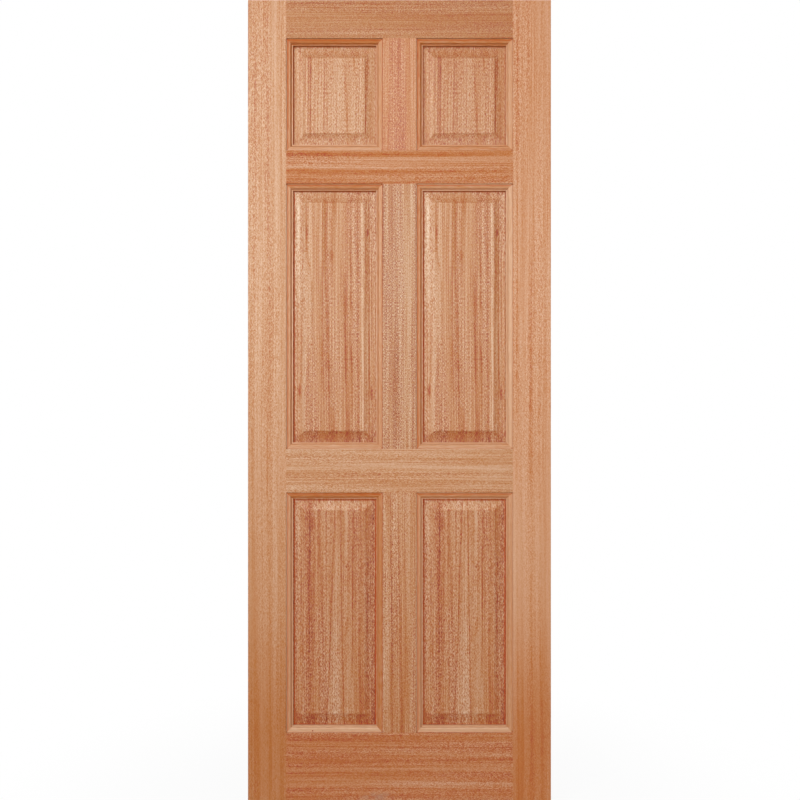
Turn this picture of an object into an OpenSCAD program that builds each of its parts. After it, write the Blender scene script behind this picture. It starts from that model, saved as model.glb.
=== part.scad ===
// Panelled front door leaf in hardwood.
// Two stiles, four rails and three muntins are framed with wedged mortice-and-tenon joints round six
// raised-and-fielded panels, which float in grooves. Mitred ovolo beads are planted round every panel
// on both faces, a little below the face of the framing.
// The leaf stands on z = 0, centred on x and y, with its front towards -y.

/* [Leaf] */
// Width of the leaf
leaf_w = 762; // [680:1:920]
// Height of the leaf
leaf_h = 2032; // [1960:1:2140]
// Thickness of the leaf
leaf_t = 44; // [42:0.5:54]
// Chamfer on the long outer arrises and round the openings
arris = 0.6; // [0.4:0.1:3]

/* [Framing] */
// Face width of a stile
stile_w = 96; // [85:1:130]
// Face width of a muntin
muntin_w = 85; // [70:1:110]
// Face height of the top rail
top_rail_h = 96; // [88:1:140]
// Face height of the frieze rail
frieze_rail_h = 84; // [76:1:120]
// Face height of the lock rail
lock_rail_h = 110; // [85:1:200]
// Face height of the bottom rail
bottom_rail_h = 189; // [160:1:240]
// Height of the openings for the upper panels
upper_opening_h = 282; // [180:1:340]
// Height of the openings for the lower panels
lower_opening_h = 604; // [450:1:680]

/* [Joints] */
// Width of the panel groove, which is also the width of every mortice
groove_w = 14; // [11:0.5:16]
// Depth of the panel groove
groove_d = 12; // [9:0.5:14]
// Height of the haunch beside the tenons of the top and bottom rails
haunch_h = 36; // [20:1:42]
// Gap between the twin tenons of the bottom rail
twin_gap = 36; // [20:1:50]
// Length of the stub tenons of the muntins
stub_l = 28; // [18:1:32]
// Length of a wedge
wedge_l = 62; // [40:1:70]
// Thickness of a wedge at the edge of the leaf
wedge_thick = 7; // [4:0.5:9]
// Thickness of a wedge at its inner tip
wedge_tip = 1.5; // [1:0.1:3]

/* [Panels] */
// Thickness of a panel across its raised field
field_t = 24.5; // [21:0.5:32]
// Distance from the edge of the framing to the edge of the raised field
field_margin = 46; // [38:0.5:60]
// Room left for the panel to swell, at the bottom of the groove
panel_play = 2.5; // [1:0.5:5]

/* [Beads] */
// Face width of a bead
bead_w = 16; // [13:0.5:24]
// Step from the face of the framing down to the crown of the bead
bead_step = 3.5; // [1:0.5:5]
// Radius of the ovolo
ovolo_r = 4.5; // [3:0.5:7]
// Width of the flat fillet between the ovolo and the panel
fillet_w = 3.5; // [2:0.5:5.5]

/* [Hidden] */
$fn = 64;
// Clearance on each side of a tenon for the glue, and of a panel's tongue so that it can slide
glue_gap = 0.1;
slide_gap = 0.15;
// Depth left below a stub tenon
stub_pocket = 1.5;
// How far a cutting shape reaches past the surface that it cuts
over = 1;

stile_tone = "#D9A67E";
rail_tone = "#CF9468";
muntin_tone = "#CE9A78";
panel_tone = "#CB8F66";
bead_tone = "#D8A678";
wedge_tone = "#C08A5E";

// Levels of the framing, from the floor up
lower_z = bottom_rail_h;
lock_rail_z = lower_z + lower_opening_h;
middle_z = lock_rail_z + lock_rail_h;
top_rail_z = leaf_h - top_rail_h;
upper_z = top_rail_z - upper_opening_h;
frieze_rail_z = upper_z - frieze_rail_h;
middle_opening_h = frieze_rail_z - middle_z;

// Widths across the leaf
clear_w = leaf_w - 2 * stile_w;
opening_w = (clear_w - muntin_w) / 2;
opening_x = (opening_w + muntin_w) / 2;

// Joints
tenon_t = groove_w - 2 * glue_gap;
twin_tenon_h = (bottom_rail_h - groove_d - haunch_h - twin_gap) / 2;
stub_w = muntin_w - 2 * groove_d;

// Panels: the tongue sits in the groove, and the cove is an arc that starts flat at the inner edge of
// the bead and ends at the field
tongue_t = groove_w - 2 * slide_gap;
tongue_l = groove_d - panel_play;
raise_h = (field_t - tongue_t) / 2;
flat_w = tongue_l + bead_w;
cove_run = field_margin - bead_w;
cove_r = (cove_run * cove_run + raise_h * raise_h) / (2 * raise_h);

// Beads: they stand on the plane of the groove's wall
lip = (leaf_t - groove_w) / 2;
bead_h = lip - bead_step;
crown_w = bead_w - ovolo_r - fillet_w;

// Rails: name, lower edge, height, and the lower edge and height of each through tenon
TOP_TENONS = [[top_rail_z + groove_d, top_rail_h - groove_d - haunch_h]];
FRIEZE_TENONS = [[frieze_rail_z + groove_d, frieze_rail_h - 2 * groove_d]];
LOCK_TENONS = [[lock_rail_z + groove_d, lock_rail_h - 2 * groove_d]];
BOTTOM_TENONS = [[haunch_h, twin_tenon_h], [haunch_h + twin_tenon_h + twin_gap, twin_tenon_h]];
ALL_TENONS = concat(TOP_TENONS, FRIEZE_TENONS, LOCK_TENONS, BOTTOM_TENONS);

// Rows of panels: name, lower edge and height of the opening
ROWS = [
    ["upper", upper_z, upper_opening_h],
    ["middle", middle_z, middle_opening_h],
    ["lower", lower_z, lower_opening_h]
];
// Columns of panels: name, and which side of the middle they are on
COLUMNS = [["left", -1], ["right", 1]];
// Faces of the leaf: name, and whether it is the far one
FACES = [["front", false], ["back", true]];

function panel_node(row, column) = str(row[0], "_", column[0], "_panel");
function bead_node(face, row, column, place) =
    str(face[0], "_", row[0], "_", column[0], "_", place);

FRAMING = [
    "left_stile", "right_stile", "top_rail", "frieze_rail", "lock_rail", "bottom_rail",
    "upper_muntin", "middle_muntin", "lower_muntin"
];
PANELS = [for (row = ROWS) for (column = COLUMNS) panel_node(row, column)];
BEADS = [
    for (face = FACES) for (row = ROWS) for (column = COLUMNS)
        for (place = ["top_bead", "bottom_bead", "side_beads"]) bead_node(face, row, column, place)
];
WEDGES = ["top_rail_wedges", "frieze_rail_wedges", "lock_rail_wedges", "bottom_rail_wedges"];

// Draws its children as they are, and again on the other side of the leaf
module both_sides() {
    children();
    mirror([1, 0, 0]) children();
}

// Wedge that lies on the upper edge of a tenon in the left stile, its thin end inwards.
// It can start beyond the edge of the leaf, so that the same shape also cuts the mortice.
module wedge(z, width, beyond = 0) {
    slope = (wedge_thick - wedge_tip) / wedge_l;
    outer_x = -leaf_w / 2 - beyond;
    inner_x = -leaf_w / 2 + wedge_l;
    translate([0, width / 2, z])
        rotate([90, 0, 0])
            linear_extrude(width)
                polygon([
                    [outer_x, 0], [inner_x, 0], [inner_x, wedge_tip], [outer_x, wedge_thick + slope * beyond]
                ]);
}

// The two wedges of one tenon in the left stile
module wedge_pair(tenon, width, beyond = 0) {
    wedge(tenon[0] + tenon[1], width, beyond);
    translate([0, 0, 2 * tenon[0] + tenon[1]])
        mirror([0, 0, 1]) wedge(tenon[0] + tenon[1], width, beyond);
}

// Mortice through the left stile, flared towards the edge of the leaf for the wedges
module mortice(tenon) {
    translate([-leaf_w / 2 - over, -groove_w / 2, tenon[0]])
        cube([stile_w + over, groove_w, tenon[1]]);
    wedge_pair(tenon, groove_w, over);
}

// Cut that eases both arrises of an edge of the framing. The middle of the edge runs up from the origin,
// and the wood is on its -x side.
module eased_edge(length) {
    for (face = [0, 1])
        mirror([0, face, 0])
            linear_extrude(length)
                polygon([
                    [-arris - over, -leaf_t / 2 - over], [over, -leaf_t / 2 - over],
                    [over, -leaf_t / 2 + arris + over]
                ]);
}

// Left stile: a plank with its outer arrises eased, grooved for the panels and morticed for the rails
module left_stile() {
    color(stile_tone)
        difference() {
            linear_extrude(leaf_h)
                polygon([
                    [-leaf_w / 2 + arris, -leaf_t / 2], [-leaf_w / 2 + stile_w, -leaf_t / 2],
                    [-leaf_w / 2 + stile_w, leaf_t / 2], [-leaf_w / 2 + arris, leaf_t / 2],
                    [-leaf_w / 2, leaf_t / 2 - arris], [-leaf_w / 2, -leaf_t / 2 + arris]
                ]);
            translate([-leaf_w / 2 + stile_w - groove_d, -groove_w / 2, -over])
                cube([groove_d + over, groove_w, leaf_h + 2 * over]);
            for (tenon = ALL_TENONS) mortice(tenon);
            for (row = ROWS)
                translate([-leaf_w / 2 + stile_w, 0, row[1]]) eased_edge(row[2]);
        }
}

module right_stile() {
    mirror([1, 0, 0]) left_stile();
}

// Panel groove along the whole of one rail edge, with the mortice in it for a muntin's stub tenon and the
// eased arrises of the two openings. Its mouth is at z and it goes up from there, or down where deeper is -1.
module edge_groove(z, deeper) {
    depth = stub_l + stub_pocket;
    translate([0, 0, z + deeper * (groove_d - over) / 2])
        cube([clear_w + 2 * over, groove_w, groove_d + over], center = true);
    translate([0, 0, z + deeper * (depth - over) / 2])
        cube([stub_w + 2 * glue_gap, groove_w, depth + over], center = true);
    both_sides()
        translate([muntin_w / 2, 0, z])
            mirror([0, 0, deeper > 0 ? 0 : 1]) rotate([0, 90, 0]) eased_edge(opening_w + over);
}

// Rail with its tenons. The haunch fills the groove of the stile beside them, from haunch_z up.
module rail(z, height, tenons, grooved_below, grooved_above, haunch_z = 0, haunch_len = 0) {
    color(rail_tone) {
        difference() {
            translate([-clear_w / 2, -leaf_t / 2, z]) cube([clear_w, leaf_t, height]);
            if (grooved_below) edge_groove(z, 1);
            if (grooved_above) edge_groove(z + height, -1);
        }
        both_sides() {
            for (tenon = tenons)
                translate([-leaf_w / 2, -tenon_t / 2, tenon[0]]) cube([stile_w, tenon_t, tenon[1]]);
            if (haunch_len > 0)
                translate([-clear_w / 2 - groove_d, -tenon_t / 2, haunch_z])
                    cube([groove_d, tenon_t, haunch_len]);
        }
    }
}

module top_rail() {
    rail(top_rail_z, top_rail_h, TOP_TENONS, true, false, leaf_h - haunch_h, haunch_h);
}

module frieze_rail() {
    rail(frieze_rail_z, frieze_rail_h, FRIEZE_TENONS, true, true);
}

module lock_rail() {
    rail(lock_rail_z, lock_rail_h, LOCK_TENONS, true, true);
}

module bottom_rail() {
    rail(0, bottom_rail_h, BOTTOM_TENONS, false, true, 0, bottom_rail_h - groove_d);
}

// Muntin that fills the height between two rails, with a stub tenon at each end
module muntin(row) {
    color(muntin_tone) {
        difference() {
            translate([-muntin_w / 2, -leaf_t / 2, row[1]]) cube([muntin_w, leaf_t, row[2]]);
            both_sides() {
                translate([-muntin_w / 2 - over, -groove_w / 2, row[1] - over])
                    cube([groove_d + over, groove_w, row[2] + 2 * over]);
                translate([muntin_w / 2, 0, row[1] - over]) eased_edge(row[2] + 2 * over);
            }
        }
        translate([-stub_w / 2, -tenon_t / 2, row[1] - stub_l])
            cube([stub_w, tenon_t, row[2] + 2 * stub_l]);
    }
}

// Cut that raises the field along one edge of a panel's front: the flat that passes under the bead
// into the groove, then the cove. The edge lies on x = 0 along z, and the panel is on the +x side.
module raising_cut(length) {
    run = length + 2 * over;
    translate([-over, -field_t / 2 - over, -run / 2]) cube([flat_w + over, raise_h + over, run]);
    translate([flat_w, -tongue_t / 2 - cove_r, -run / 2]) cylinder(r = cove_r, h = run, $fn = 180);
}

// Raised-and-fielded panel, the same on both faces
module panel(row, column) {
    width = opening_w + 2 * tongue_l;
    height = row[2] + 2 * tongue_l;
    color(panel_tone)
        translate([column[1] * opening_x, 0, row[1] + row[2] / 2])
            difference() {
                cube([width, field_t, height], center = true);
                for (turn = [0, 180]) rotate([0, 0, turn]) {
                    both_sides() translate([-width / 2, 0, 0]) raising_cut(height);
                    for (end = [0, 180])
                        rotate([0, end, 0])
                            translate([0, 0, -height / 2]) rotate([0, -90, 0]) raising_cut(width);
                }
            }
}

// Section of a bead: x runs from the framing to the panel, y from the panel out to the crown
module bead_section() {
    square([crown_w, bead_h]);
    square([bead_w, bead_h - ovolo_r]);
    translate([crown_w, bead_h - ovolo_r])
        intersection() {
            circle(ovolo_r);
            square(ovolo_r);
        }
}

// Bead along the lower edge of an opening, from x = 0 to x = length, mitred at both ends.
// The half turn lays its length along x, with the section standing up from the framing.
module bead(length) {
    intersection() {
        rotate(180, [1, 0, 1]) linear_extrude(length) bead_section();
        rotate([90, 0, 0])
            linear_extrude(bead_h)
                polygon([[0, 0], [length, 0], [length - bead_w, bead_w], [bead_w, bead_w]]);
    }
}

// Carries beads drawn for the lower left corner of the front to their opening
module in_opening(face, row, column) {
    color(bead_tone)
        mirror([0, face[1] ? 1 : 0, 0])
            translate([column[1] * opening_x - opening_w / 2, -groove_w / 2, row[1]])
                children();
}

module bottom_bead(face, row, column) {
    in_opening(face, row, column) bead(opening_w);
}

module top_bead(face, row, column) {
    in_opening(face, row, column) translate([0, 0, row[2]]) mirror([0, 0, 1]) bead(opening_w);
}

module side_beads(face, row, column) {
    in_opening(face, row, column) {
        mirror([1, 0, -1]) bead(row[2]);
        translate([opening_w, 0, 0]) mirror([1, 0, 0]) mirror([1, 0, -1]) bead(row[2]);
    }
}

// All the wedges of one rail
module wedges(tenons) {
    color(wedge_tone)
        both_sides()
            for (tenon = tenons) wedge_pair(tenon, tenon_t);
}

left_stile();
right_stile();
top_rail();
frieze_rail();
lock_rail();
bottom_rail();
for (row = ROWS)
    muntin(row);
for (row = ROWS) for (column = COLUMNS)
    panel(row, column);
for (face = FACES) for (row = ROWS) for (column = COLUMNS) {
    top_bead(face, row, column);
    bottom_bead(face, row, column);
    side_beads(face, row, column);
}
wedges(TOP_TENONS);  // top_rail_wedges
wedges(FRIEZE_TENONS);  // frieze_rail_wedges
wedges(LOCK_TENONS);  // lock_rail_wedges
wedges(BOTTOM_TENONS);  // bottom_rail_wedges
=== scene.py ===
"""Looks of the panelled front door leaf: bare sanded hardwood, with a figure and a tone for every board."""

import itertools
import math
from typing import NamedTuple

import bpy
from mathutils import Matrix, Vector


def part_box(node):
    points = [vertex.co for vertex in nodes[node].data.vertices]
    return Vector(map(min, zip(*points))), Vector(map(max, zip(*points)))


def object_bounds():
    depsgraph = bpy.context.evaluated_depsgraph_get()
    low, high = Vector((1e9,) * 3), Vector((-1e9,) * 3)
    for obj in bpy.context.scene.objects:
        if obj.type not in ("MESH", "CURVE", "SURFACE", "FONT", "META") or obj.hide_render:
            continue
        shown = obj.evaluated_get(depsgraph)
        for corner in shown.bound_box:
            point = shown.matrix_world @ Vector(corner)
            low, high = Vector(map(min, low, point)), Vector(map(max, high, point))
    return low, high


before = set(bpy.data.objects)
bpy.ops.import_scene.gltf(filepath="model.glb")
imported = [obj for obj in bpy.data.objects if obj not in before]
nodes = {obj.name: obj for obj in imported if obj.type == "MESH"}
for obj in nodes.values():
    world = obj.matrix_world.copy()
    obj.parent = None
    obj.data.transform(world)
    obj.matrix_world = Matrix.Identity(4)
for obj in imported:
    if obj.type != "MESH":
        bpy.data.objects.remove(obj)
cad_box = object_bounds()

ROWS = ("upper", "middle", "lower")
COLUMNS = ("left", "right")
FACES = ("front", "back")
RAILS = ("top", "frieze", "lock", "bottom")
BEADS = ("top_bead", "bottom_bead", "side_beads")
MM = 0.001

# Places of the colour sockets among all the sockets of a mix node
MIX_FACTOR = 0
MIX_FIRST = 6
MIX_SECOND = 7
MIX_RESULT = 2


class Graph:
    """The node graph of a material or of the world."""

    def __init__(self, tree):
        self.tree = tree

    def add(self, kind, **settings):
        node = self.tree.nodes.new(kind)
        for key, value in settings.items():
            setattr(node, key, value)
        return node

    def feed(self, socket, value):
        """Links a value from another node, or sets a plain number or colour."""
        if isinstance(value, bpy.types.NodeSocket):
            self.tree.links.new(value, socket)
        else:
            socket.default_value = value

    def feed_all(self, node, values):
        for socket, value in zip(node.inputs, values):
            self.feed(socket, value)
        return node.outputs[0]

    def calc(self, operation, *values):
        return self.feed_all(self.add("ShaderNodeMath", operation=operation), values)

    def colour_calc(self, operation, *values):
        return self.feed_all(self.add("ShaderNodeVectorMath", operation=operation), values)

    def vector(self, x, y, z):
        return self.feed_all(self.add("ShaderNodeCombineXYZ"), (x, y, z))

    def split(self, vector):
        node = self.add("ShaderNodeSeparateXYZ")
        self.feed(node.inputs[0], vector)
        return node.outputs

    def ease(self, value, low, high, to_low=0.0, to_high=1.0, smooth=True):
        """Goes from to_low to to_high while the value goes from low to high."""
        node = self.add("ShaderNodeMapRange", interpolation_type="SMOOTHSTEP" if smooth else "LINEAR")
        return self.feed_all(node, (value, low, high, to_low, to_high))

    def band(self, value, centre, width):
        """1 where the value is at the centre, down to 0 at this width on either side of it."""
        aside = self.calc("ABSOLUTE", self.calc("SUBTRACT", value, centre))
        return self.ease(aside, 0.0, width, 1.0, 0.0)

    def follow(self, value, points):
        """A smooth curve through given points, each a value and what it becomes."""
        places = sorted(points)
        first, last = places[0][0], places[-1][0]
        lowest = min(result for _, result in places)
        rise = max(result for _, result in places) - lowest
        if rise == 0:
            return lowest
        node = self.add("ShaderNodeFloatCurve")
        curve = node.mapping.curves[0]
        shares = [((start - first) / (last - first), (result - lowest) / rise) for start, result in places]
        curve.points[0].location = shares[0]
        curve.points[1].location = shares[-1]
        for share in shares[1:-1]:
            curve.points.new(*share)
        node.mapping.update()
        self.feed(node.inputs["Value"], self.ease(value, first, last, smooth=False))
        return self.calc("MULTIPLY_ADD", node.outputs["Value"], rise, lowest)

    def noise(self, vector, detail, roughness):
        node = self.add("ShaderNodeTexNoise")
        self.feed(node.inputs["Vector"], vector)
        node.inputs["Scale"].default_value = 1.0
        node.inputs["Detail"].default_value = detail
        node.inputs["Roughness"].default_value = roughness
        return node.outputs["Fac"]

    def mix(self, factor, first, second):
        node = self.add("ShaderNodeMix", data_type="RGBA")
        self.feed(node.inputs[MIX_FACTOR], factor)
        self.feed(node.inputs[MIX_FIRST], first)
        self.feed(node.inputs[MIX_SECOND], second)
        return node.outputs[MIX_RESULT]


def new_material(name):
    material = bpy.data.materials.new(name)
    material.use_nodes = True
    material.node_tree.nodes.clear()
    return material


# Every board's own tone lies between these two. A tone is written as the share of the way from deep to pale.
DEEP_TONE = Vector((0.38, 0.1, 0.004))
PALE_TONE = Vector((0.55, 0.3, 0.17))


def wood(share, red=0.0):
    """A board's tone, made this much redder than others of its depth."""
    tone = DEEP_TONE.lerp(PALE_TONE, share)
    return tone.x + red, tone.y, tone.z


# A change of tone moves all three colours nearly alike, down to the darkest line in the wood
TONE_DIRECTION = (0.82, 1.03, 0.95)
DARKEST = (0.05, 0.015, 0.004)
# Painted shade, with some grime, mixed over the wood in the corners beside the beads
SHADE_AND_DIRT_TONE = (0.42, 0.05, 0.002, 1.0)
SCUFF_TONE = (0.36, 0.22, 0.15, 1.0)

# Satin sheen: roughness goes from the first to the second of the gloss pair with the grain, and the painted
# shade and grime in corners is matt
SHEEN = 0.78
SHEEN_TINT = (1.0, 0.95, 0.76, 1.0)
GLOSS = (0.48, 0.33)
SILK_RANGE = (0.7, 1.3)
MATT = 1.0
DULL_MARK = 0.4
BUMP_STRENGTH = 0.3
BUMP_HEIGHT = 0.2
PORE_BUMP = -0.6


class Cells(NamedTuple):
    """Noise drawn out along the grain: so many cells in a metre across it and along it. The shift keeps the
    cells of one layer apart from those of the next."""

    across: float
    along: float
    detail: float
    roughness: float = 0.5
    shift: float = 0.0


RIBBON = Cells(55.0, 0.8, detail=3.0, roughness=0.55)
STREAK = Cells(480.0, 3.0, detail=2.0, roughness=0.6, shift=11.0)
FLECK = Cells(850.0, 230.0, detail=1.0, shift=23.0)
LIVELY = Cells(32.0, 1.6, detail=1.0, shift=31.0)
SLOW_BEND = Cells(5.0, 1.1, detail=1.0, shift=40.0)
WAVER = Cells(14.0, 22.0, detail=1.0, shift=47.0)
PORES = Cells(1300.0, 110.0, detail=1.0, shift=57.0)
BROKEN = Cells(60.0, 26.0, detail=1.0, shift=63.0)
RINGS = Cells(260.0, 260.0, detail=2.0, roughness=0.6, shift=71.0)
RUBBED = Cells(90.0, 40.0, detail=2.0, shift=83.0)
NOISE_MIDDLE = 0.5
SEED_STEP = (7.31, 3.17, 5.53)

# How far the grain runs out of straight, in millimetres, for noise that goes from 0 to 1
SLOW_BEND_REACH = 16.0
WAVER_REACH = 2.4

# What part of a layer's noise counts, from and to, and what it becomes there
LIVELY_RANGE = (0.35, 0.65, 0.6, 1.4)
BROKEN_RANGE = (0.35, 0.6, 0.55, 1.15)
PORE_RANGE = (0.57, 0.7)
RUBBED_RANGE = (0.35, 0.6)
SCUFF_CORE = 0.3
PORE_DEPTH = -0.03
PORE_SHARE = 0.15
END_SHADE_RANGE = (0.3, 0.7, 0.45, 0.75)
END_FACING_RANGE = (0.8, 0.95)


class Board:
    """The figure of one board. Across and along are distances from its centre, in the grain's directions,
    and change is the sum of what its grain, lines and marks add to its tone."""

    def __init__(self, name, centre, upright, seed):
        self.material = new_material(name)
        self.graph = Graph(self.material.node_tree)
        self.seed = seed
        coordinates = self.graph.add("ShaderNodeTexCoord")
        x, y, z = self.graph.split(coordinates.outputs["Object"])
        facing = self.graph.split(coordinates.outputs["Normal"])
        x = self.graph.calc("SUBTRACT", x, centre.x)
        z = self.graph.calc("SUBTRACT", z, centre.z)
        self.through = y
        self.across, self.along = (x, z) if upright else (z, x)
        self.end_facing = self.graph.calc("ABSOLUTE", facing[2] if upright else facing[0])
        self.straight_across = self.across
        self.change = 0.0
        self.cover = 0.0
        self.dull = 0.0
        self.grey = None

    def layer(self, cells):
        graph = self.graph
        start_across, start_through, start_along = (self.seed * step for step in SEED_STEP)
        place = graph.vector(
            graph.calc("MULTIPLY_ADD", self.across, cells.across, start_across + cells.shift),
            graph.calc("MULTIPLY_ADD", self.through, cells.across, start_through),
            graph.calc("MULTIPLY_ADD", self.along, cells.along, start_along - cells.shift),
        )
        return graph.noise(place, cells.detail, cells.roughness)

    def centred(self, noise):
        return self.graph.calc("SUBTRACT", noise, NOISE_MIDDLE)

    def wander(self, cells, reach):
        """Lets the grain run out of straight."""
        aside = self.centred(self.layer(cells))
        self.across = self.graph.calc("MULTIPLY_ADD", aside, reach * MM, self.across)

    def add(self, value, amount):
        """Adds a layer to the tone."""
        self.change = self.graph.calc("MULTIPLY_ADD", value, amount, self.change)

    def paint_shade_and_dirt(self, value, share):
        """Adds matt painted shade, with some grime, in a corner, covering this share of the wood's colour."""
        self.cover = self.graph.calc("MAXIMUM", self.graph.calc("MULTIPLY", value, share), self.cover)
        self.dull = self.graph.calc("MAXIMUM", value, self.dull)

    def mark(self, value, depth):
        """Adds a pale mark, or a dark one that is duller than the wood round it."""
        self.add(value, depth)
        if depth < 0:
            self.dull = self.graph.calc("MAXIMUM", self.graph.calc("MULTIPLY", value, DULL_MARK), self.dull)

    def grain(self, flecks, streaks, ribbons, fleck_cells=FLECK.along, ribbon_cells=RIBBON.across, gain=1.0):
        """The grain that covers the whole board: broad ribbons, long streaks, short flecks and open pores.
        Flecks, streaks and ribbons say how strong each is, and gain makes the fine ones stronger by place.
        Fleck cells are counted along the grain and ribbon cells across it, in a metre."""
        graph = self.graph
        self.wander(SLOW_BEND, SLOW_BEND_REACH)
        self.wander(WAVER, WAVER_REACH)
        self.streak = self.layer(STREAK)
        self.fleck = self.layer(FLECK._replace(along=fleck_cells))
        self.broken = graph.ease(self.layer(BROKEN), *BROKEN_RANGE)
        self.pores = graph.ease(self.layer(PORES), *PORE_RANGE)
        ribbon = self.layer(RIBBON._replace(across=ribbon_cells))
        lively = graph.calc("MULTIPLY", graph.ease(self.layer(LIVELY), *LIVELY_RANGE), gain)
        self.add(self.centred(ribbon), ribbons)
        self.add(graph.calc("MULTIPLY", self.centred(self.streak), gain), streaks)
        self.add(graph.calc("MULTIPLY", self.centred(self.fleck), lively), flecks)
        self.add(graph.calc("SUBTRACT", self.pores, PORE_SHARE), PORE_DEPTH)

    def line(self, points, width, depth, fade=30):
        """A streak along given points, each so far along and across in millimetres. It fades at its ends, and
        a negative depth is darker than the wood."""
        graph = self.graph
        route = [(along * MM, across * MM) for along, across in points]
        low, high = min(route)[0], max(route)[0]
        body = graph.band(self.across, graph.follow(self.along, route), width * MM)
        start = graph.ease(self.along, low - fade * MM, low + fade * MM)
        end = graph.ease(self.along, high - fade * MM, high + fade * MM, 1.0, 0.0)
        shown = graph.calc("MULTIPLY", graph.calc("MULTIPLY", start, end), self.broken)
        self.mark(graph.calc("MULTIPLY", body, shown), depth)

    def spot(self, along, across, length, width, depth, core=0.0):
        """A soft mark of this length and width, in millimetres from the centre of the board."""
        reach = self.reach(along, across, length, width)
        self.mark(self.graph.ease(reach, core, 1.0, 1.0, 0.0), depth)

    def scuff(self, along, across, length, width, share):
        """A soft mark where the surface is rubbed grey."""
        graph = self.graph
        worn = graph.ease(self.reach(along, across, length, width), SCUFF_CORE, 1.0, share, 0.0)
        self.grey = graph.calc("MULTIPLY", worn, graph.ease(self.layer(RUBBED), *RUBBED_RANGE))

    def reach(self, along, across, length, width):
        """Distance from a mark's centre, as a share of its half length and half width."""
        graph = self.graph
        up = graph.calc("MULTIPLY_ADD", self.along, 2 / (length * MM), -2 * along / length)
        over = graph.calc("MULTIPLY_ADD", self.straight_across, 2 / (width * MM), -2 * across / width)
        return graph.calc("SQRT", graph.calc("MULTIPLY_ADD", up, up, graph.calc("MULTIPLY", over, over)))

    def drift(self, stops, red):
        """A tone that goes along the board from one share to the next. A stop is a place and its share."""
        before, first = stops[0]
        tone = (*wood(first, red), 1.0)
        for place, share in stops[1:]:
            tone = self.graph.mix(self.graph.ease(self.along, before, place), tone, (*wood(share, red), 1.0))
            before = place
        return tone

    def sides(self, left, right):
        """One tone on the left of the centre and another on the right."""
        on_right = self.graph.calc("GREATER_THAN", self.straight_across, 0.0)
        return self.graph.mix(on_right, (*wood(left), 1.0), (*wood(right), 1.0))

    def finish(self, tone, gloss=GLOSS):
        """Sanded wood of this tone: satin, with flecks of another gloss, open pores and darker end grain."""
        graph = self.graph
        colour = graph.colour_calc("MULTIPLY_ADD", self.change, TONE_DIRECTION, tone)
        colour = graph.colour_calc("MAXIMUM", colour, DARKEST)
        # Painted shade, with some grime, in the corners
        colour = graph.mix(self.cover, colour, SHADE_AND_DIRT_TONE)
        if self.grey is not None:
            colour = graph.mix(self.grey, colour, SCUFF_TONE)
        end_shade = graph.ease(self.layer(RINGS), *END_SHADE_RANGE)
        end_grain = graph.colour_calc("MULTIPLY", tone, graph.vector(end_shade, end_shade, end_shade))
        colour = graph.mix(graph.ease(self.end_facing, *END_FACING_RANGE), colour, end_grain)
        silk = graph.ease(graph.calc("ADD", self.fleck, self.streak), *SILK_RANGE, *gloss)
        bump = graph.add("ShaderNodeBump")
        graph.feed(bump.inputs["Height"], graph.calc("MULTIPLY_ADD", self.pores, PORE_BUMP, self.fleck))
        bump.inputs["Strength"].default_value = BUMP_STRENGTH
        bump.inputs["Distance"].default_value = BUMP_HEIGHT * MM
        shader = graph.add("ShaderNodeBsdfPrincipled")
        graph.feed(shader.inputs["Base Color"], colour)
        graph.feed(shader.inputs["Roughness"], graph.ease(self.dull, 0.0, 1.0, silk, MATT))
        graph.feed(shader.inputs["Normal"], bump.outputs["Normal"])
        shader.inputs["Specular IOR Level"].default_value = SHEEN
        shader.inputs["Specular Tint"].default_value = SHEEN_TINT
        output = graph.add("ShaderNodeOutputMaterial")
        graph.feed(output.inputs["Surface"], shader.outputs["BSDF"])
        return self.material


def dress(node_name, material):
    """Gives a node of the model its one material."""
    slots = nodes[node_name].data.materials
    slots.clear()
    slots.append(material)


def middle_of(node_name):
    low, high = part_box(node_name)
    return (low + high) / 2


def half_height(node_name):
    low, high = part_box(node_name)
    return (high.z - low.z) / 2


# Stiles: mottled with fine flecks, and deeper in colour at the foot. The flecks and streaks are painted
# stronger towards the head, most on the left stile, as glints of the sheen. The tones belong to these heights
# above the stile's middle, in metres.
STILE_STOPS = (-0.87, -0.43, 0.17, 0.78)
STILE_TONES = {"left": (0.1, 0.5, 0.5, 0.4), "right": (0.1, 0.65, 0.4, 0.4)}
STILE_RED = {"left": -0.01, "right": 0.01}
STILE_FLECKS = {"left": 0.42, "right": 0.46}
STILE_GRAIN = {"streaks": 0.25, "ribbons": 0.2, "fleck_cells": 260.0}
FOOT_GLINT = 0.45
HEAD_GLINT = {"left": 1.2, "right": 0.95}
GAIN_REACH = 0.9


def left_stile_figure(board):
    board.line([(-1000, 0), (-300, -2)], width=9, depth=0.03, fade=150)
    board.line([(-200, 22), (900, 26)], width=12, depth=0.025, fade=200)


def right_stile_figure(board):
    board.line([(-1000, -38), (1000, -37)], width=6, depth=-0.03, fade=60)
    board.line([(-1000, -3), (300, -1)], width=6, depth=-0.025, fade=200)
    board.line([(-1000, 21), (200, 20)], width=7, depth=-0.025, fade=200)


STILE_FIGURES = {"left": left_stile_figure, "right": right_stile_figure}


def stile(side, seed):
    name = side + "_stile"
    board = Board(name, middle_of(name), True, seed)
    # Painted glint: flecks and streaks grow stronger from the foot to the head
    gain = board.graph.ease(board.along, -GAIN_REACH, GAIN_REACH, FOOT_GLINT, HEAD_GLINT[side])
    board.grain(flecks=STILE_FLECKS[side], gain=gain, **STILE_GRAIN)
    STILE_FIGURES[side](board)
    stops = list(zip(STILE_STOPS, STILE_TONES[side]))
    dress(name, board.finish(board.drift(stops, STILE_RED[side])))


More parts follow.
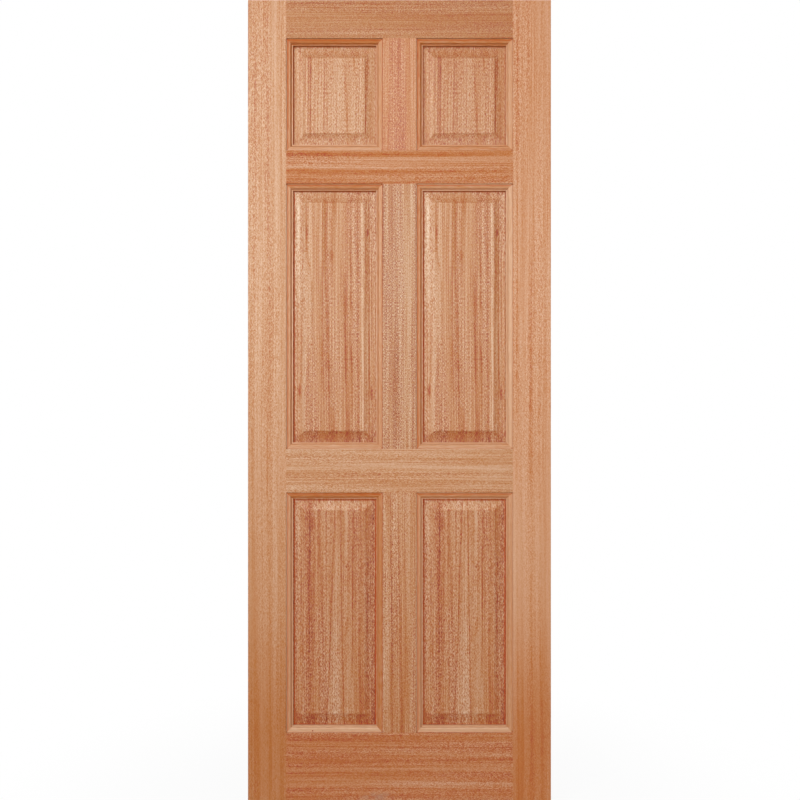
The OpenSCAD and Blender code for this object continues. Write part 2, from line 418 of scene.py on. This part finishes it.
# Rails: fine level streaks, with a tone for the left end and one for the right
RAIL_TONES = {"top": (0.1, 0.05), "frieze": (0.2, 0.25), "lock": (0.45, 0.4), "bottom": (0.05, 0.1)}
RAIL_RED = {"top": -0.035, "frieze": 0.005, "lock": -0.02, "bottom": 0.005}
RAIL_REACH = 0.3
RAIL_GLOSS = {"top": (0.6, 0.45), "frieze": (0.72, 0.6), "lock": GLOSS, "bottom": GLOSS}
RAIL_FLECK_CELLS = 290.0
RAIL_GRAIN = {
    "top": {"flecks": 0.65, "streaks": 0.24, "ribbons": 0.15},
    "frieze": {"flecks": 0.42, "streaks": 0.26, "ribbons": 0.3},
    "lock": {"flecks": 0.38, "streaks": 0.3, "ribbons": 0.4},
    "bottom": {"flecks": 0.5, "streaks": 0.25, "ribbons": 0.28},
}
WEDGE_TONE = 0.3
WEDGE_GRAIN = {"flecks": 0.2, "streaks": 0.1, "ribbons": 0.1, "fleck_cells": 110.0}
WEDGE_SEED_STEP = 0.5


def top_figure(board):
    board.line([(-280, 38), (100, 37)], width=5, depth=-0.04, fade=60)
    board.line([(-280, 30), (0, 29)], width=4, depth=-0.04, fade=60)
    board.line([(-200, -33), (280, -32)], width=4, depth=0.04, fade=60)


def frieze_figure(board):
    board.line([(-300, 1), (300, 2)], width=3, depth=0.06, fade=40)
    board.line([(-300, -8), (300, -9)], width=5, depth=-0.04, fade=40)
    board.line([(-300, -19), (300, -18)], width=6, depth=0.03, fade=40)
    board.line([(-300, -26), (300, -25)], width=4, depth=-0.03, fade=40)
    board.line([(-300, 36), (300, 33)], width=9, depth=-0.03, fade=40)


def lock_figure(board):
    # Painted highlight along the rail's eased top edge
    board.line([(-300, 54), (300, 54)], width=3, depth=0.09, fade=20)
    board.line([(-300, 44), (300, 44)], width=3, depth=-0.03, fade=20)
    board.line([(-300, -53), (300, -53)], width=5, depth=-0.05, fade=20)
    board.spot(along=240, across=0, length=120, width=90, depth=0.03)


def bottom_figure(board):
    board.line([(-300, 62), (300, 60)], width=4, depth=-0.04, fade=40)
    board.line([(-300, 22), (300, 20)], width=3, depth=-0.035, fade=40)
    board.line([(-300, -6), (300, -4)], width=3, depth=-0.035, fade=40)
    board.line([(-300, -30), (300, -28)], width=4, depth=-0.03, fade=40)
    board.scuff(along=-56, across=-66, length=100, width=34, share=0.5)


RAIL_FIGURES = {"top": top_figure, "frieze": frieze_figure, "lock": lock_figure, "bottom": bottom_figure}


def rail(place, seed):
    name = place + "_rail"
    board = Board(name, middle_of(name), False, seed)
    board.grain(fleck_cells=RAIL_FLECK_CELLS, **RAIL_GRAIN[place])
    RAIL_FIGURES[place](board)
    left, right = RAIL_TONES[place]
    tone = board.drift([(-RAIL_REACH, left), (RAIL_REACH, right)], RAIL_RED[place])
    dress(name, board.finish(tone, RAIL_GLOSS[place]))
    wedges = name + "_wedges"
    wedge_board = Board(wedges, middle_of(name), False, seed + WEDGE_SEED_STEP)
    wedge_board.grain(**WEDGE_GRAIN)
    dress(wedges, wedge_board.finish(wood(WEDGE_TONE)))


# Muntins: silvery flecks with redder bands, and a tone for the foot and one for the head
MUNTIN_TONES = {"upper": (0.2, 0.2), "middle": (0.3, 0.15), "lower": (0.3, 0.4)}
MUNTIN_RED = {"upper": 0.01, "middle": -0.035, "lower": -0.02}
MUNTIN_FLECKS = {"upper": 0.64, "middle": 0.88, "lower": 0.68}
MUNTIN_GRAIN = {"streaks": 0.46, "ribbons": 0.24}


def upper_muntin_figure(board):
    board.line([(-140, -33), (140, -33)], width=4, depth=0.05)


def middle_muntin_figure(board):
    board.line([(-330, -6), (-60, -8)], width=16, depth=-0.05, fade=80)
    board.line([(-330, 30), (330, 28)], width=14, depth=0.04, fade=60)
    board.line([(-330, -34), (330, -34)], width=10, depth=0.04, fade=60)


def lower_muntin_figure(board):
    board.line([(-300, -18), (300, -19)], width=5, depth=-0.06, fade=60)
    board.line([(-300, -35), (300, -35)], width=10, depth=0.05, fade=60)


MUNTIN_FIGURES = {"upper": upper_muntin_figure, "middle": middle_muntin_figure, "lower": lower_muntin_figure}


def muntin(row, seed):
    name = row + "_muntin"
    board = Board(name, middle_of(name), True, seed)
    board.grain(flecks=MUNTIN_FLECKS[row], **MUNTIN_GRAIN)
    MUNTIN_FIGURES[row](board)
    foot, head = MUNTIN_TONES[row]
    reach = half_height(name)
    dress(name, board.finish(board.drift([(-reach, foot), (reach, head)], MUNTIN_RED[row])))


# Panels: the two of a row are cut one after the other from the same board, so they show the same figure. In
# the lower row its two middle lines have slipped a little to the left by the second panel.
PANEL_TONES = {
    "upper": {"left": 0.35, "right": 0.2},
    "middle": {"left": 0.3, "right": 0.3},
    "lower": {"left": 0.2, "right": 0.25},
}
PANEL_RED = -0.018
PANEL_FLECKS = {"upper": 0.54, "middle": 0.7, "lower": 0.75}
PANEL_GRAIN = {"streaks": 0.43, "ribbons": 0.15, "fleck_cells": 190.0, "ribbon_cells": 70.0}
LOWER_MIDDLE_LINES = (
    ((300, 2), (173, -2), (57, -6), (-106, -12), (-300, -23)),
    ((300, 14), (32, 18), (-300, 23)),
)
LOWER_SLIP = {"left": 0, "right": -6}


def upper_panel_figure(board):
    # Painted highlight on the left bevel beside the field's edge
    board.line([(120, -84), (-120, -84)], width=4, depth=0.06)
    board.line([(140, -70), (-140, -70)], width=5, depth=0.04)
    board.line([(140, -59), (-140, -59)], width=4, depth=-0.045)
    board.line([(66, -60), (51, -60)], width=5, depth=-0.05, fade=12)
    board.line([(140, -30), (-140, -31)], width=7, depth=0.05)
    board.line([(116, 21), (50, 26), (-22, 29)], width=4, depth=-0.05)
    board.line([(-20, 32), (-140, 34)], width=4, depth=-0.05)
    board.line([(116, 46), (50, 53)], width=4, depth=-0.05)
    board.line([(140, 66), (-140, 64)], width=8, depth=0.03)
    board.line([(88, 78), (-90, 79)], width=4, depth=-0.05)


def middle_panel_figure(board):
    # Pale on the left bevel and along the field's left edge: partly paler wood, partly painted sheen and
    # highlight
    board.line([(330, -94), (20, -94)], width=12, depth=0.1, fade=60)
    board.line([(330, -76), (-330, -80)], width=8, depth=0.06, fade=60)
    board.line([(330, -74), (189, -74), (64, -59), (-138, -66)], width=5, depth=-0.055)
    board.line([(60, -72), (-150, -75)], width=9, depth=0.04, fade=60)
    board.line([(120, -36), (-180, -32)], width=10, depth=-0.04, fade=60)
    board.line([(330, -28), (0, -22), (-330, -8)], width=14, depth=-0.045, fade=60)
    board.line([(330, -4), (255, -5), (81, -11)], width=12, depth=-0.045, fade=60)
    board.line([(-138, 2), (-330, 2)], width=3, depth=-0.07, fade=20)
    board.line([(120, 20), (99, 24), (-180, 28), (-320, 31)], width=10, depth=-0.05)
    board.line([(-30, 37), (-138, 43)], width=5, depth=-0.045)
    board.line([(330, 40), (-330, 42)], width=7, depth=-0.045, fade=60)
    board.line([(330, 58), (-330, 58)], width=5, depth=-0.03, fade=60)
    board.line([(330, 70), (-330, 70)], width=5, depth=0.11, fade=60)
    board.line([(330, 85), (-320, 86)], width=4, depth=-0.07)
    board.spot(along=212, across=-70, length=60, width=9, depth=-0.1)
    board.spot(along=212, across=83, length=34, width=7, depth=-0.2)
    board.spot(along=-188, across=-89, length=70, width=14, depth=-0.14)
    board.spot(along=-193, across=93, length=60, width=10, depth=-0.12)


def lower_panel_figure(board):
    board.line([(300, -90), (-300, -90)], width=6, depth=0.05, fade=40)
    board.line([(300, -60), (-300, -58)], width=16, depth=-0.05, fade=40)
    board.line([(285, -37), (120, -37)], width=4, depth=-0.045)
    board.line([(300, 5), (-300, 5)], width=50, depth=0.05, fade=40)
    board.line([(300, 30), (-300, 32)], width=6, depth=0.035, fade=40)
    board.line([(270, 45), (-8, 45), (-167, 42)], width=4, depth=-0.08)
    board.line([(300, 64), (-300, 64)], width=5, depth=-0.035, fade=40)
    board.line([(300, 82), (-300, 82)], width=5, depth=-0.045, fade=40)
    board.line([(300, 100), (-300, 100)], width=12, depth=-0.1, fade=40)
    board.spot(along=114, across=30, length=12, width=8, depth=-0.25)
    board.spot(along=219, across=-57, length=110, width=34, depth=-0.075)
    board.spot(along=-214, across=77, length=190, width=70, depth=-0.03)


PANEL_FIGURES = {"upper": upper_panel_figure, "middle": middle_panel_figure, "lower": lower_panel_figure}

# Painted shade, with some grime, in the corner between the beads and the panel, most of it along the left and
# the top, where the shadows fall. Distances are in millimetres, from the panel's edge and then from the rim
# of the beads that cover that edge.
COVERED_EDGE = 25.5
RIM_WIDTH = 3.0
RIM_COVER = 0.85
RIM_LINE = {
    "upper": {"left": 0.8, "right": 1.0, "top": 1.0, "bottom": 1.0},
    "middle": {"left": 2.8, "right": 1.0, "top": 1.0, "bottom": 1.0},
    "lower": {"left": 3.2, "right": 2.0, "top": 3.6, "bottom": 1.0},
}
RIM_SHADE_AND_DIRT = {
    "upper": {"left": 1.0, "right": 0.4, "top": 0.6, "bottom": 0.0},
    "middle": {"left": 1.0, "right": 0.1, "top": 0.9, "bottom": 0.0},
    "lower": {"left": 1.0, "right": 1.0, "top": 1.0, "bottom": 0.2},
}
# Painted shade on the bevel under each field, which faces down
BEVEL_RUN = 30.0
BEVEL_TOP_FADE = 3.0
UNDERSIDE_SHADE = {"upper": -0.02, "middle": -0.05, "lower": -0.05}


def dark_rim(board, name, row):
    graph = board.graph
    low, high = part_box(name)
    half = (high - low) / 2
    for place, share in RIM_SHADE_AND_DIRT[row].items():
        upright = place in ("left", "right")
        distance, limit = (board.straight_across, half.x) if upright else (board.along, half.z)
        inward = 1.0 if place in ("left", "bottom") else -1.0
        from_edge = graph.calc("MULTIPLY_ADD", distance, inward, limit)
        rim = graph.band(from_edge, (COVERED_EDGE + RIM_LINE[row][place]) * MM, RIM_WIDTH * MM)
        # Painted shade in the corner along the rim of the beads
        board.paint_shade_and_dirt(graph.calc("MULTIPLY", rim, share), RIM_COVER)


def panel(row, side, seed):
    name = f"{row}_{side}_panel"
    board = Board(name, middle_of(name), True, seed)
    board.grain(flecks=PANEL_FLECKS[row], **PANEL_GRAIN)
    PANEL_FIGURES[row](board)
    if row == "lower":
        for route in LOWER_MIDDLE_LINES:
            board.line([(along, across + LOWER_SLIP[side]) for along, across in route], width=3, depth=-0.105)
    dark_rim(board, name, row)
    # Painted shade on the bevel under the field, which faces down
    bevel_top = (COVERED_EDGE + BEVEL_RUN) * MM - half_height(name)
    under_field = board.graph.ease(board.along, bevel_top - BEVEL_TOP_FADE * MM, bevel_top, 1.0, 0.0)
    board.add(under_field, UNDERSIDE_SHADE[row])
    dress(name, board.finish(wood(PANEL_TONES[row][side], PANEL_RED)))


# Beads: finer and straighter, each strip with its own tone. The tones are partly the strips' own and partly
# painted light and shade: the top strips of the upper row are deepest, where shade falls, and the bottom
# strips of the lower row, which face up, are palest.
BEAD_TONES = {
    ("upper", "left"): {"top": 0.0, "bottom": 0.35, "left": 0.2, "right": 0.35},
    ("upper", "right"): {"top": 0.1, "bottom": 0.15, "left": 0.1, "right": 0.55},
    ("middle", "left"): {"top": 0.3, "bottom": 0.5, "left": 0.4, "right": 0.35},
    ("middle", "right"): {"top": 0.55, "bottom": 0.5, "left": 0.15, "right": 0.8},
    ("lower", "left"): {"top": 0.05, "bottom": 1.0, "left": 0.5, "right": 0.2},
    ("lower", "right"): {"top": 0.3, "bottom": 0.9, "left": 0.5, "right": 0.55},
}
BEAD_GRAIN = {"flecks": 0.16, "streaks": 0.14, "ribbons": 0.06, "fleck_cells": 60.0}
TOP_BEAD_GLOSS = (0.8, 0.65)
# Painted shade, with some grime, along the top and left strips, on the shadow side, and less along the others
STRIP_SHADE_AND_DIRT = {
    "left": {"left": 1.0, "right": 0.7, "top": 1.0, "bottom": 0.25},
    "right": {"left": 1.0, "right": 0.1, "top": 1.0, "bottom": 0.25},
}
# Lines along a strip, in millimetres from its outer edge: painted shade, with some grime, lies in the quirk
# beside the framing and on the step of the lip, between a painted highlight on the outer edge and one on the
# lip. On shaded strips it lies further in.
SHADED_QUIRK = 3.8
PALE_QUIRK = 0.8
QUIRK_WIDTH = 2.0
QUIRK_COVER = 0.65
QUIRK_EDGE = 1.6
QUIRK_EDGE_HIGHLIGHT = 0.1
LIP_LINE = 12.3
LIP_LINE_WIDTH = 1.4
LIP_LINE_COVER = 0.3
LIP_EDGE = 14.8
LIP_EDGE_HIGHLIGHT = 0.07
MITRE_LINE = 0.8
MITRE_SHADE = -0.06
CORNER_DOT = 5.0
CORNER_SHADE = -0.2
# Head of a brad in the bead under the lower left panel, so far along and across from the panel's middle
BRAD_BEAD = ("front", "lower", "left", "bottom_bead")
BRAD_HOLE = (-55, -298)
BRAD_SIZE = 4.5
BRAD_SHADE = -0.4
BRAD_CORE = 0.4


def bead(face, row, side, place, seed):
    name = f"{face}_{row}_{side}_{place}"
    centre = middle_of(f"{row}_{side}_panel")
    upright = place == "side_beads"
    board = Board(name, centre, upright, seed)
    graph = board.graph
    board.grain(**BEAD_GRAIN)
    tones = BEAD_TONES[row, side]
    strip_shade_and_dirt = STRIP_SHADE_AND_DIRT[side]
    low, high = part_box(name)
    if upright:
        outer = high.x - centre.x
        end = high.z - centre.z
        on_right = graph.calc("GREATER_THAN", board.straight_across, 0.0)
        shade_and_dirt_share = graph.ease(on_right, 0.0, 1.0, strip_shade_and_dirt["left"], strip_shade_and_dirt["right"])
        quirk_place = graph.ease(on_right, 0.0, 1.0, SHADED_QUIRK * MM, PALE_QUIRK * MM)
        tone = board.sides(tones["left"], tones["right"])
    else:
        strip = place.split("_")[0]
        outer = max(high.z - centre.z, centre.z - low.z)
        end = high.x - centre.x
        shade_and_dirt_share = strip_shade_and_dirt[strip]
        quirk_place = (SHADED_QUIRK if strip == "top" else PALE_QUIRK) * MM
        tone = wood(tones[strip])
    inward = graph.calc("SUBTRACT", outer, graph.calc("ABSOLUTE", board.straight_across))
    inset = graph.calc("SUBTRACT", end, graph.calc("ABSOLUTE", board.along))
    quirk = graph.band(inward, quirk_place, QUIRK_WIDTH * MM)
    outer_edge = graph.ease(inward, 0.0, QUIRK_EDGE * MM, 1.0, 0.0)
    lip_line = graph.band(inward, LIP_LINE * MM, LIP_LINE_WIDTH * MM)
    lip_edge = graph.band(inward, LIP_EDGE * MM, LIP_LINE_WIDTH * MM)
    mitre = graph.band(inset, inward, MITRE_LINE * MM)
    corner = graph.ease(graph.calc("MAXIMUM", inset, inward), 0.0, CORNER_DOT * MM, 1.0, 0.0)
    # Painted shade, with some grime, in the quirk and on the step of the lip
    board.paint_shade_and_dirt(graph.calc("MULTIPLY", quirk, shade_and_dirt_share), QUIRK_COVER)
    board.paint_shade_and_dirt(graph.calc("MULTIPLY", lip_line, shade_and_dirt_share), LIP_LINE_COVER)
    # Painted highlights on the outer edge of the strip and on its lip
    board.add(graph.calc("MULTIPLY", outer_edge, shade_and_dirt_share), QUIRK_EDGE_HIGHLIGHT)
    board.add(graph.calc("MULTIPLY", lip_edge, shade_and_dirt_share), LIP_EDGE_HIGHLIGHT)
    board.add(mitre, MITRE_SHADE)
    # Painted shade in the small hole at the outer corner of the mitre
    board.add(corner, CORNER_SHADE)
    if (face, row, side, place) == BRAD_BEAD:
        board.spot(*BRAD_HOLE, length=BRAD_SIZE, width=BRAD_SIZE, depth=BRAD_SHADE, core=BRAD_CORE)
    dress(name, board.finish(tone, TOP_BEAD_GLOSS if place == "top_bead" else GLOSS))


# Each board has a seed of its own for its noise, and the two panels of a row share one
STILE_SEED = 1
RAIL_SEED = 11
MUNTIN_SEED = 21
PANEL_SEED = 31
BEAD_SEED = 41
for seed, side in enumerate(COLUMNS, STILE_SEED):
    stile(side, seed)
for seed, place in enumerate(RAILS, RAIL_SEED):
    rail(place, seed)
for seed, row in enumerate(ROWS, MUNTIN_SEED):
    muntin(row, seed)
for seed, row in enumerate(ROWS, PANEL_SEED):
    for side in COLUMNS:
        panel(row, side, seed)
for seed, (row, side, face, place) in enumerate(itertools.product(ROWS, COLUMNS, FACES, BEADS), BEAD_SEED):
    bead(face, row, side, place, seed)

# Soft studio light: a small box and a broad one from the upper left, a fill from the right, and one for the
# back. Each has its place, its width and height in metres, and its power in watts.
LEAF_MIDDLE = Vector((0.0, 0.0, 1.1))
SOFT_BOXES = {
    "key_box": ((-3.2, -4.8, 5.6), (1.6, 1.6), 135.0),
    "sheen_box": ((-1.4, -5.0, 2.4), (4.8, 3.2), 188.0),
    "fill_box": ((2.0, -4.7, 1.7), (1.8, 1.8), 50.0),
    "back_box": ((1.8, 5.0, 3.4), (3.0, 2.4), 290.0),
}
for name, (place, (width, height), power) in SOFT_BOXES.items():
    lamp_data = bpy.data.lights.new(name, "AREA")
    lamp_data.shape = "RECTANGLE"
    lamp_data.size = width
    lamp_data.size_y = height
    lamp_data.energy = power
    lamp = bpy.data.objects.new(name, lamp_data)
    lamp.location = place
    lamp.rotation_euler = (LEAF_MIDDLE - Vector(place)).to_track_quat("-Z", "Y").to_euler()
    bpy.context.scene.collection.objects.link(lamp)


def white_backdrop_rays(graph):
    """1 for the rays that should see the white backdrop: the camera's, gloss and see-through ones."""
    path = graph.add("ShaderNodeLightPath")
    seen = path.outputs["Is Camera Ray"]
    for kind in ("Is Glossy Ray", "Is Transmission Ray"):
        seen = graph.calc("MAXIMUM", seen, path.outputs[kind])
    return seen


# White backdrop behind the leaf, fading to a grey wall in front of it. The light that it gives is weaker.
AMBIENT = 0.2
FRONT_WALL = 0.5
WALL_FADE = (0.3, 0.85)
WHITE = (1.0, 1.0, 1.0, 1.0)
world = bpy.data.worlds.new("studio")
bpy.context.scene.world = world
world.use_nodes = True
backdrop = world.node_tree.nodes["Background"]
backdrop.inputs["Color"].default_value = WHITE
world_graph = Graph(world.node_tree)
direction = world_graph.split(world_graph.add("ShaderNodeTexCoord").outputs["Generated"])
wall = world_graph.ease(direction["Y"], *WALL_FADE, FRONT_WALL, 1.0)
seen_backdrop = white_backdrop_rays(world_graph)
strength = world_graph.ease(seen_backdrop, 0.0, 1.0, AMBIENT, wall, smooth=False)
world_graph.feed(backdrop.inputs["Strength"], strength)

# Pale floor: it takes the leaf's shadow near the foot and runs out into the white backdrop further off
FLOOR_SIZE = 8.0
FLOOR_GAP = 0.5
FLOOR_COLOUR = (0.48, 0.475, 0.47, 1.0)
SHADOW_REACH = (0.2, 1.2)
SHADOW_GLOW = 0.93
FRONT_REACH = (-0.5, 0.05)
FRONT_GLOW = 0.35
bpy.ops.mesh.primitive_plane_add(size=FLOOR_SIZE, location=(0.0, 0.0, -FLOOR_GAP * MM))
floor = bpy.context.object
floor.name = "floor"
floor_material = new_material("pale_floor")
floor_graph = Graph(floor_material.node_tree)
floor_place = floor_graph.add("ShaderNodeTexCoord").outputs["Object"]
floor_distance = floor_graph.add("ShaderNodeVectorMath", operation="LENGTH")
floor_graph.feed(floor_distance.inputs[0], floor_place)
behind = floor_graph.ease(floor_graph.split(floor_place)["Y"], *FRONT_REACH, FRONT_GLOW, 1.0)
outside_shadow = floor_graph.ease(floor_distance.outputs["Value"], *SHADOW_REACH, SHADOW_GLOW, 1.0)
glow_share = floor_graph.calc("MULTIPLY", behind, outside_shadow)
diffuse = floor_graph.add("ShaderNodeBsdfDiffuse")
diffuse.inputs["Color"].default_value = FLOOR_COLOUR
glow = floor_graph.add("ShaderNodeEmission")
seen_glow = floor_graph.calc("MULTIPLY", white_backdrop_rays(floor_graph), glow_share)
blend = floor_graph.add("ShaderNodeMixShader")
floor_surface = floor_graph.feed_all(blend, (seen_glow, diffuse.outputs[0], glow.outputs[0]))
floor_output = floor_graph.add("ShaderNodeOutputMaterial")
floor_graph.feed(floor_output.inputs["Surface"], floor_surface)
floor.data.materials.append(floor_material)

# Camera: straight on to the front, with the leaf filling the height of the picture
CAMERA_DISTANCE = 2.5
VIEW_WIDTH = 2.0119
VIEW_CENTRE_X = 0.0013
VIEW_CENTRE_Z = 1.026
SENSOR = 36.0
camera_data = bpy.data.cameras.new("camera")
camera_data.sensor_width = SENSOR
camera_data.lens = SENSOR * CAMERA_DISTANCE / VIEW_WIDTH
camera = bpy.data.objects.new("camera", camera_data)
camera.location = (VIEW_CENTRE_X, cad_box[0].y - CAMERA_DISTANCE, VIEW_CENTRE_Z)
camera.rotation_euler = (math.pi / 2, 0.0, 0.0)
bpy.context.scene.collection.objects.link(camera)
bpy.context.scene.camera = camera
bpy.context.scene.view_settings.view_transform = "Standard"
